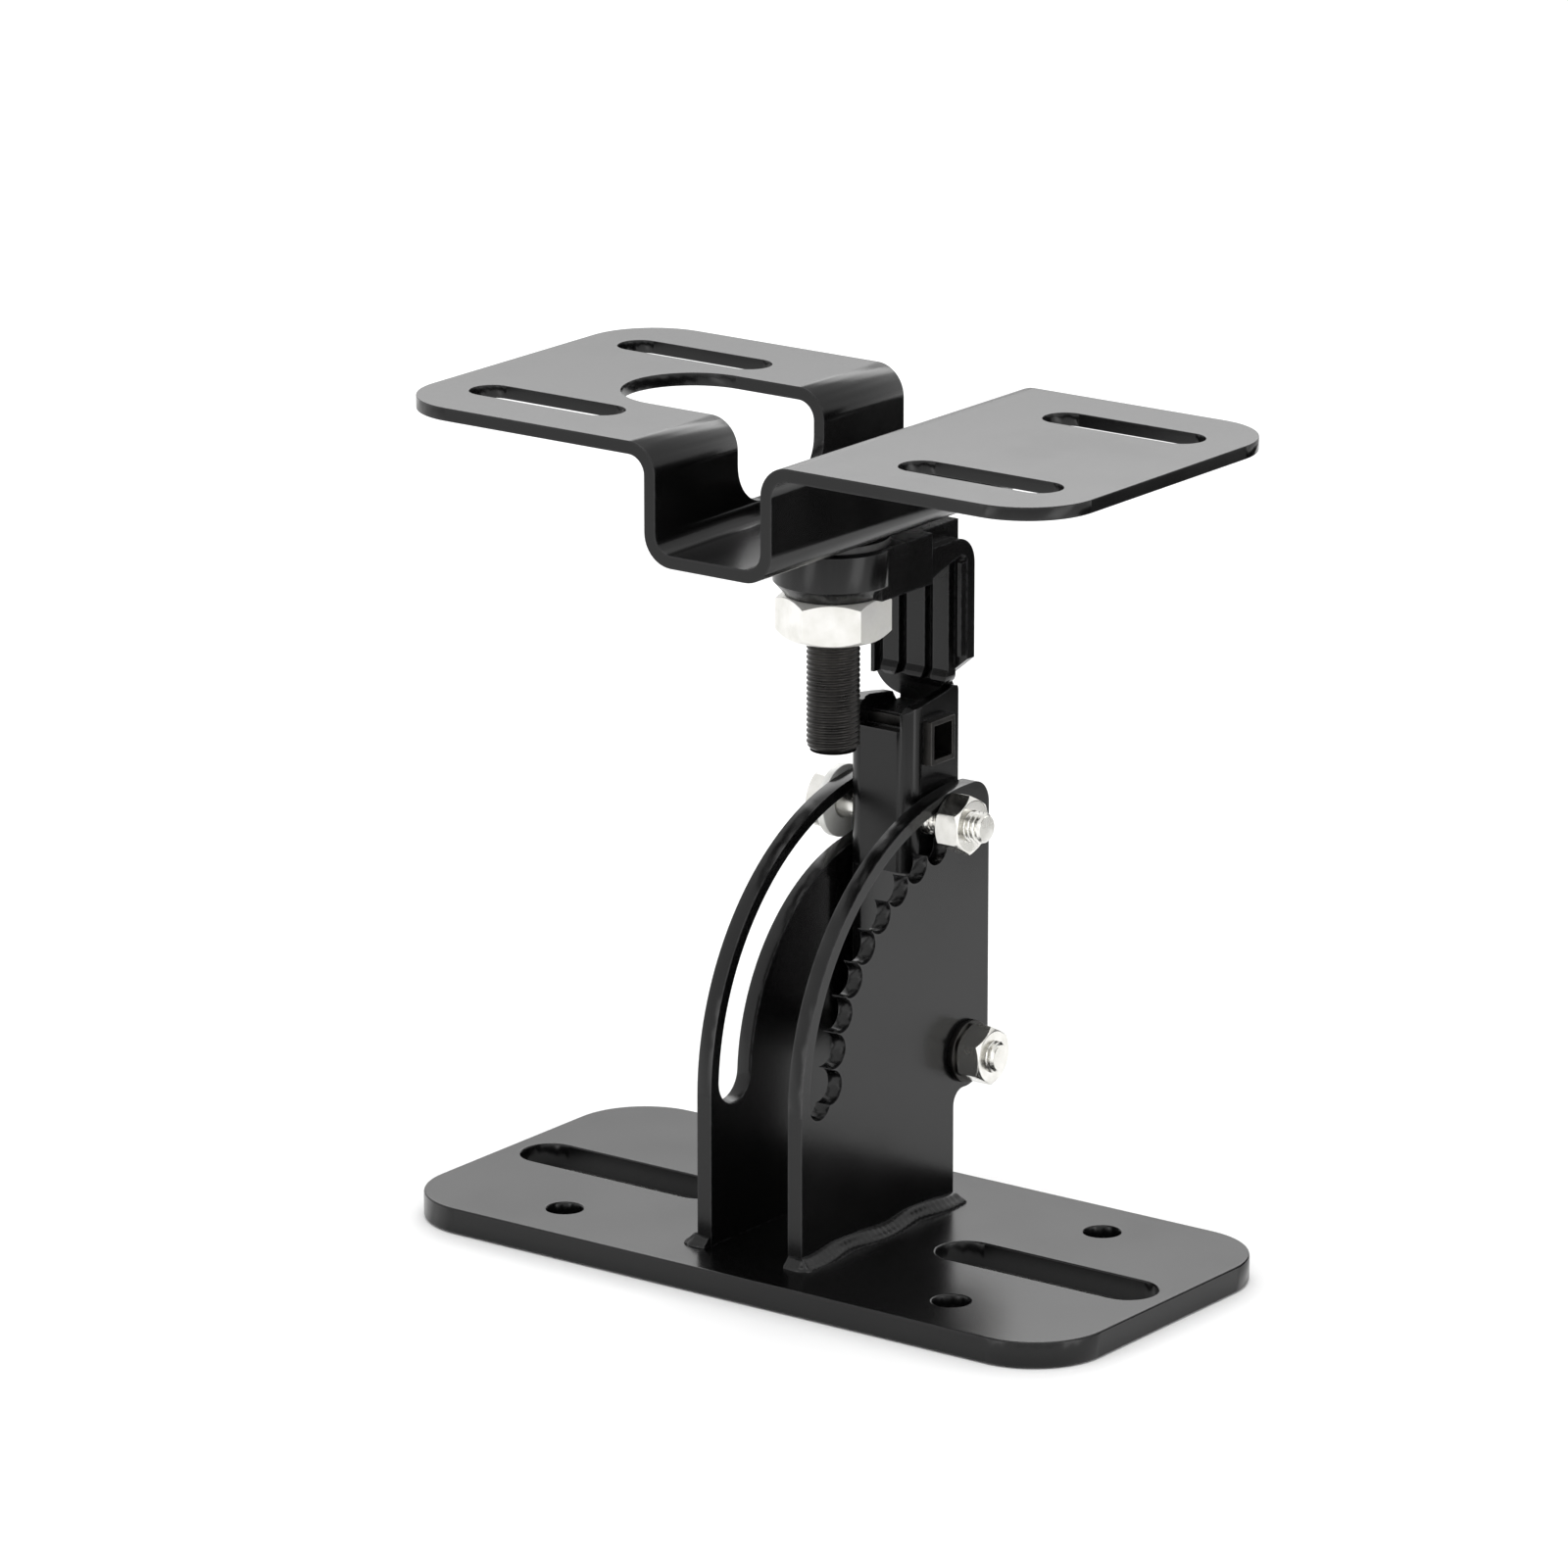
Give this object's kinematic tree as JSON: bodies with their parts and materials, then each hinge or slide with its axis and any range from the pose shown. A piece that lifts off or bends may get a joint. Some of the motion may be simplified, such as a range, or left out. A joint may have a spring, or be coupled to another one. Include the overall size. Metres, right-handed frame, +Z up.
{
  "type": "swivel speaker bracket",
  "caption": "Black steel speaker bracket with a slotted foot, a notched tilting quadrant, a panning bolt and a slotted top plate with a folded channel.",
  "frame": {"origin": "centre of the foot plate's underside", "axes": "+Z up through the top plate along the pan axis, +X along the long side of both plates and along the tilt axis, -Y towards the side the top tilts to"},
  "size_m": [0.152, 0.077, 0.16],
  "materials": {
    "black_powder_coat": "satin",
    "black_oxide_steel": "satin",
    "bright_zinc": "gloss",
    "black_nylon": "matte"
  },
  "bodies": {
    "foot": {"base_plate": "black_powder_coat", "left_cheek": "black_powder_coat", "right_cheek": "black_powder_coat", "left_weld": "black_powder_coat", "right_weld": "black_powder_coat", "pivot_bolt": "bright_zinc", "pivot_bolt_washer": "bright_zinc", "pivot_nut_washer": "black_oxide_steel", "pivot_nut": "bright_zinc", "left_spacer": "black_nylon", "right_spacer": "black_nylon"},
    "tilting arm": {"tilt_arm": "black_powder_coat", "lock_bolt": "bright_zinc", "lock_bolt_washer": "bright_zinc", "lock_nut": "bright_zinc", "knuckle": "black_powder_coat", "knuckle_pin": "black_oxide_steel", "pan_bolt": "black_oxide_steel", "pan_nut": "bright_zinc", "pan_friction_washer": "black_nylon"},
    "panning plate": {"top_plate": "black_powder_coat"}
  },
  "joints": [
    {"name": "tilt", "type": "hinge", "parent": "foot", "child": "tilting arm", "pos_m": [0, 0.026, 0.0338], "axis": [1, 0, 0], "range_deg": [0, 79]},
    {"name": "pan", "type": "hinge", "parent": "tilting arm", "child": "panning plate", "pos_m": [0, 0, 0.14], "axis": [0, 0, 1], "continuous": true}
  ]
}
